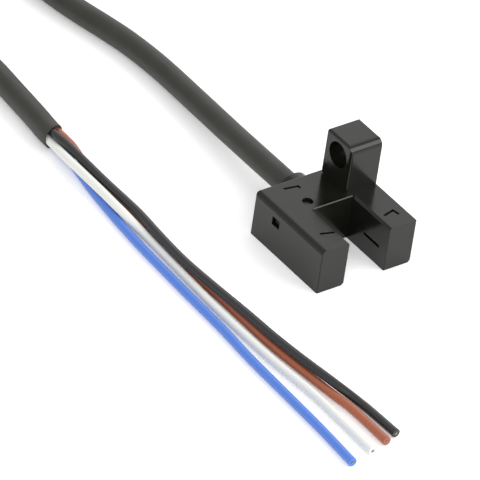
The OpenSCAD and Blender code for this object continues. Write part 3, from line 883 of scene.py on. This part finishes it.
@dataclass
class WireStrands:
    """The tinned strands that show in a wire's cut end.

    Attributes:
        strand: Radius of one strand in millimetres.
        length: Length of the strands that is modelled.
        proud: How far they stand past the cut.
        round_middle: Strands round the middle one.
        spread: Distance of these from the middle, in strand radii.
        sides: Corners of a strand.
        tilt: Largest tilt of a strand about each axis, in radians.
        slide: Largest shift of a strand along itself.
    """

    strand: float = 0.064
    length: float = 0.5
    proud: float = 0.02
    round_middle: int = 6
    spread: float = 2.05
    sides: int = 8
    tilt: Point = (0.05, 0.05, 0.12)
    slide: float = 0.03

    def _tree(self) -> bpy.types.NodeTree:
        """Builds the tree that lays strands round a middle one and gives them their finish."""
        group = bpy.data.node_groups.get("Strand bundle")
        if group is not None:
            return group
        group = bpy.data.node_groups.new("Strand bundle", "GeometryNodeTree")
        face = group.interface
        for name, value in (("Strand radius", self.strand * MM), ("Strand length", self.length * MM)):
            face.new_socket(name, in_out="INPUT", socket_type="NodeSocketFloat").default_value = value
        face.new_socket("Seed", in_out="INPUT", socket_type="NodeSocketInt").default_value = 3
        face.new_socket("Geometry", in_out="OUTPUT", socket_type="NodeSocketGeometry")
        tree = Tree(group)
        given = tree.add("NodeGroupInput").outputs
        middle = tree.add("GeometryNodeMeshLine", {"Count": 1}).outputs["Mesh"]
        reach = tree.math("MULTIPLY", given["Strand radius"], self.spread)
        feeds = {"Vertices": self.round_middle, "Radius": reach}
        ring = tree.add("GeometryNodeMeshCircle", feeds).outputs["Mesh"]
        joined = tree.add("GeometryNodeJoinGeometry")
        for points in (middle, ring):
            group.links.new(points, joined.inputs["Geometry"])
        feeds = {"Vertices": self.sides, "Side Segments": 2}
        feeds |= {"Radius": given["Strand radius"], "Depth": given["Strand length"]}
        strand = tree.add("GeometryNodeMeshCylinder", feeds).outputs["Mesh"]
        feeds = {0: tuple(-x for x in self.tilt), 1: self.tilt, "Seed": given["Seed"]}
        tilt = tree.add("FunctionNodeRandomValue", feeds, data_type="FLOAT_VECTOR")
        feeds = {"Points": joined.outputs["Geometry"], "Instance": strand}
        placed = tree.add("GeometryNodeInstanceOnPoints", feeds)
        feeds = {2: -self.slide * MM, 3: self.slide * MM, "Seed": given["Seed"]}
        slide = tree.add("FunctionNodeRandomValue", feeds, data_type="FLOAT")
        offset = tree.add("ShaderNodeCombineXYZ", {"Z": slide.outputs[1]})
        feeds = {"Instances": placed.outputs["Instances"], "Translation": offset.outputs["Vector"]}
        moved = tree.add("GeometryNodeTranslateInstances", feeds)
        feeds = {"Instances": moved.outputs["Instances"], "Rotation": tilt.outputs[0]}
        tilted = tree.add("GeometryNodeRotateInstances", feeds)
        real = tree.add("GeometryNodeRealizeInstances", {"Geometry": tilted.outputs["Instances"]})
        feeds = {"Geometry": real.outputs["Geometry"], "Material": STRANDS.material()}
        coated = tree.add("GeometryNodeSetMaterial", feeds)
        tree.add("NodeGroupOutput", {"Geometry": coated.outputs["Geometry"]})
        return group

    def build(self, name: str, end: Vector, heading: Vector, seed: int) -> bpy.types.Object:
        """Builds the strands at one wire's end.

        Args:
            name: The piece's name.
            end: Middle of the cut, in metres.
            heading: Direction in which the wire ends.
            seed: Number that sets the strands' small differences.

        Returns:
            The piece.
        """
        group = self._tree()
        maker = put("strand_maker", bpy.data.meshes.new("strand_maker"))
        nodes = maker.modifiers.new("Strand bundle", "NODES")
        nodes.node_group = group
        keys = {item.name: item.identifier for item in group.interface.items_tree if item.in_out == "INPUT"}
        nodes[keys["Seed"]] = seed
        graph = bpy.context.evaluated_depsgraph_get()
        mesh = bpy.data.meshes.new_from_object(maker.evaluated_get(graph))
        maker.modifiers.clear()
        bpy.data.objects.remove(maker)
        turned = heading.to_track_quat("Z", "Y").to_matrix().to_4x4()
        middle = end + heading * (self.proud - self.length / 2) * MM
        mesh.transform(Matrix.Translation(middle) @ turned)
        mesh.name = name
        return put(name, mesh)


@dataclass
class Wires:
    """The four loose wires that leave the jacket's cut end.

    Attributes:
        diameter: Diameter of the insulation in millimetres.
        conductor: Radius of the conductor's hollow in the insulation.
        inside: How far each wire starts inside the jacket.
        hollow: Depth of the conductor's hollow at the cut.
        sides: Corners of the section.
        step: Longest step of the smooth line.
        routes: Points of each wire from the jacket to its end.
        strands: The conductors in the cut ends.
    """

    diameter: float = 1.12
    conductor: float = 0.205
    inside: float = 1.1
    hollow: float = 0.25
    sides: int = 28
    step: float = 0.5
    routes: dict[Wire, tuple[Point, ...]] = field(
        default_factory=lambda: {
            Wire.BROWN: (
                (-18.05, 31, 1.87), (-18.05, 30, 1.87), (-17.85, 28.3, 1.5), (-18.15, 24.3, 0.7),
                (-18.45, 20.5, 0.6), (-18.45, 12, 0.6), (-18.38, 9, 0.6), (-18.65, 3, 0.6),
                (-18.77, 0.7, 0.6), (-18.6, -3.5, 0.6), (-18.58, -13, 0.6), (-18.3, -17.5, 0.6),
                (-17.6, -24.8, 0.6), (-17.2, -28.2, 0.6), (-17.17, -35.2, 0.6),
            ),
            Wire.BLACK: (
                (-19.07, 31, 2.35), (-19.07, 30, 2.35), (-18.83, 28.3, 2.2), (-18.66, 24.4, 1.9),
                (-18.62, 20.1, 1.76), (-18.6, 13.6, 1.76), (-18.87, 9.1, 1.67), (-19.07, 5.5, 1.64),
                (-19.15, 2.3, 1.67), (-18.98, -2.4, 1.73), (-18.55, -9.4, 1.76), (-18.33, -13.9, 1.75),
                (-17.95, -18, 1.74), (-17.5, -21.4, 1.71), (-17.08, -23.7, 1.6), (-16.68, -25.1, 1.37),
                (-16.12, -26.5, 0.97), (-15.75, -27.7, 0.71), (-15.5, -29.4, 0.6), (-15.3, -34.5, 0.6),
            ),
            Wire.WHITE: (
                (-19.55, 31, 1.33), (-19.55, 30, 1.33), (-19.9, 27.5, 1.6), (-20.05, 24.5, 1.74),
                (-20.15, 18.5, 1.77), (-20.18, 16.3, 1.72), (-20.08, 14.6, 1.55), (-19.86, 12.9, 1.2),
                (-19.62, 11.2, 0.85), (-19.55, 9.2, 0.62), (-19.83, 3, 0.6), (-20.18, -5.5, 0.6),
                (-20.12, -16, 0.6), (-19.6, -24, 0.6), (-19.66, -30, 0.6), (-19.78, -35.9, 0.6),
            ),
            Wire.BLUE: (
                (-18.53, 31, 0.85), (-18.53, 30, 0.85), (-18.75, 28.2, 0.63), (-19.15, 25.8, 0.6),
                (-20.15, 20, 0.6), (-21.12, 11, 0.6), (-21.62, 1, 0.6), (-21.94, -8.7, 0.6),
                (-22.36, -15, 0.6), (-22.58, -23, 0.6), (-22.77, -29.5, 0.6), (-23.18, -36.5, 0.6),
            ),
        }
    )
    strands: WireStrands = field(default_factory=WireStrands)

    def build(self) -> None:
        for number, (wire, route) in enumerate(self.routes.items()):
            exit_point = Vector(route[0])
            start = tuple(exit_point + Vector((0.0, self.inside, 0.0)))
            path = Route((start, *route)).smooth(self.step)
            finish = wire.value.finish(wire.word, Along.SKIN)
            radius = self.diameter / 2
            skin = Tube(f"{wire.word}_insulation", path, radius, self.conductor, self.hollow, self.sides)
            piece = skin.build(finish.material())
            heading = (path[-1] - path[-2]).normalized()
            bundle = self.strands.build(f"{wire.word}_strands", path[-1], heading, number + 1)
            for part, slot in ((piece, finish.slot), (bundle, STRANDS.slot)):
                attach(part, "root")
            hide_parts(f"{wire.word}_wire")


@dataclass
class Sensor:
    """The sensor's own solids.

    Attributes:
        finishes: The finish of each solid, by the node's name.
    """

    finishes: dict[str, Finish] = field(
        default_factory=lambda: {
            "housing": CASE, "bottom_cover": COVER, "circuit_board": BOARD,
            "emitter": CLEAR, "emitter_leads": TINNED, "emitter_window": WINDOW,
            "receiver": DARK, "receiver_leads": TINNED, "receiver_window": WINDOW,
            "indicator_led": LAMP, "light_pipe": PIPE,
            "control_ic": PACKAGE, "output_transistors": PACKAGE, "component_leads": TINNED,
            "chip_resistors": RESISTOR, "chip_capacitors": CERAMIC, "solder_joints": TINNED,
            "cable_clamp": CLAMP, "cable_entry": JACKET_IN,
        }
    )

    def dress(self) -> None:
        """Gives every solid its finish."""
        finishes = dict(self.finishes)
        for wire in Wire:
            finishes[f"{wire.word}_core"] = wire.value.finish(wire.word, Along.BODY_Y)
        for node, finish in finishes.items():
            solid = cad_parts[node]
            solid.data.materials.clear()
            solid.data.materials.append(finish.material())
            LOG.info("%s: %s", node, finish.name)


@dataclass
class Lamp:
    """A soft rectangular lamp.

    Attributes:
        name: The lamp's name.
        place: Where it stands, in metres.
        size: Its side in metres.
        power: Its power in watts.
    """

    name: str
    place: Point
    size: float
    power: float

    def build(self, aim: Vector) -> None:
        """Builds the lamp.

        Args:
            aim: The point that it faces.
        """
        data = bpy.data.lights.new(self.name, "AREA")
        data.energy, data.size = self.power, self.size
        lamp = put(self.name, data)
        lamp.location = self.place
        lamp.rotation_mode = "QUATERNION"
        lamp.rotation_quaternion = (aim - lamp.location).to_track_quat("-Z", "Y")
        lamp.visible_camera = False


@dataclass
class Studio:
    """The white floor, the soft light and the camera.

    Attributes:
        reach: Half of the floor's side in metres.
        under: How far the floor lies under the part, in millimetres, so that no two faces share a plane.
        lamps: The lamps.
        sky: Strength of the light from all round.
        paper: Brightness of the floor's paper.
        lift: Light of its own that the floor shows.
        aim: Point that the lamps face, in millimetres.
        target: Point at the picture's middle, in millimetres.
        azimuth: Direction of the camera round the object, in degrees.
        elevation: Angle of the camera above the floor.
        roll: Turn of the camera about its own axis.
        distance: Distance of the camera in millimetres.
        lens: Focal length in millimetres.
        film: Width of the camera's sensor in millimetres.
        clip: Nearest and furthest distance that the camera shows, in metres.
    """

    reach: float = 6.0
    under: float = 0.01
    lamps: tuple[Lamp, ...] = (
        Lamp("front_lamp", (0.37, -0.45, 0.4), 0.5, 2.6),
        Lamp("fill_lamp", (-0.42, -0.46, 0.42), 0.5, 1.4),
        Lamp("back_panel", (0.45, 0.5, 0.5), 0.7, 1.1),
    )
    sky: float = 0.78
    paper: float = 0.92
    lift: float = 0.26
    aim: Point = (0.0, 0.0, 4.0)
    target: Point = (-9.087, 5.153, 0.0)
    azimuth: float = -41.249
    elevation: float = 36.272
    roll: float = 8.733
    distance: float = 839.66
    lens: float = 521.33
    film: float = 36.0
    clip: tuple[float, float] = (0.05, 50.0)

    @staticmethod
    def _seen(tree: Tree) -> Socket:
        """Gives an output that is 1 for rays that show the background: direct, mirrored or through resin."""
        rays = tree.add("ShaderNodeLightPath").outputs
        shown = tree.math("MAXIMUM", rays["Is Camera Ray"], rays["Is Glossy Ray"])
        return tree.math("MAXIMUM", shown, rays["Is Transmission Ray"])

    def _world(self) -> None:
        """Builds the light from all round."""
        world = bpy.data.worlds.new("studio")
        tree = Tree.emptied(world)
        sky = tree.add("ShaderNodeBackground", {"Color": (1.0, 1.0, 1.0, 1.0), "Strength": self.sky})
        tree.add("ShaderNodeOutputWorld", {"Surface": sky.outputs["Background"]})
        bpy.context.scene.world = world

    def _floor(self) -> None:
        """Builds the floor, which shows white with the object's shadow and is clear from below."""
        side, low = self.reach, -self.under * MM
        mesh = bpy.data.meshes.new("floor")
        verts = [(-side, -side, low), (side, -side, low), (side, side, low), (-side, side, low)]
        mesh.from_pydata(verts, [], [(0, 1, 2, 3)])
        floor = put("floor", mesh)
        paper = bpy.data.materials.new("white_paper")
        tree = Tree.emptied(paper)
        matt = tree.add("ShaderNodeBsdfDiffuse", {"Color": (*grey(self.paper), 1.0)})
        strength = tree.math("MULTIPLY", self._seen(tree), self.lift)
        glow = tree.add("ShaderNodeEmission", {"Strength": strength})
        both = tree.add("ShaderNodeAddShader", {0: matt.outputs["BSDF"], 1: glow.outputs["Emission"]})
        below = tree.add("ShaderNodeNewGeometry").outputs["Backfacing"]
        clear = tree.add("ShaderNodeBsdfTransparent").outputs["BSDF"]
        shown = tree.add("ShaderNodeMixShader", {0: below, 1: both.outputs["Shader"], 2: clear})
        tree.add("ShaderNodeOutputMaterial", {"Surface": shown.outputs["Shader"]})
        mesh.materials.append(paper)

    def _camera(self) -> None:
        """Builds the camera at the photograph's angle."""
        a, e, r = (math.radians(x) for x in (self.azimuth, self.elevation, self.roll))
        back = Vector((math.sin(a) * math.cos(e), -math.cos(a) * math.cos(e), math.sin(e)))
        level = Vector((math.cos(a), math.sin(a), 0.0))
        right = level * math.cos(r) + back.cross(level) * math.sin(r)
        turn = Matrix((right, back.cross(right), back)).transposed().to_4x4()
        data = bpy.data.cameras.new("camera")
        data.lens, data.sensor_width = self.lens, self.film
        data.clip_start, data.clip_end = self.clip
        camera = put("camera", data)
        camera.matrix_world = Matrix.Translation((Vector(self.target) + back * self.distance) * MM) @ turn
        bpy.context.scene.camera = camera

    def build(self) -> None:
        """Builds the studio."""
        bpy.context.scene.view_settings.view_transform = "Standard"
        self._camera()
        self._world()
        self._floor()
        for lamp in self.lamps:
            lamp.build(Vector(self.aim) * MM)
        LOG.info("studio: %d lamps", len(self.lamps))


def corners(box: Sequence[Vector]) -> list[list[float]]:
    """Gives a box, its lowest and highest corner, as plain numbers."""
    return [[float(x) for x in corner] for corner in box]


def main() -> None:
    """Builds the studio, the cords and the sensor's finishes."""
    logging.basicConfig(level=logging.INFO, format="%(name)s: %(message)s")
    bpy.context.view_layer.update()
    Studio().build()
    Cable().build()
    Wires().build()
    Sensor().dress()


if __name__ == "__main__":
    main()
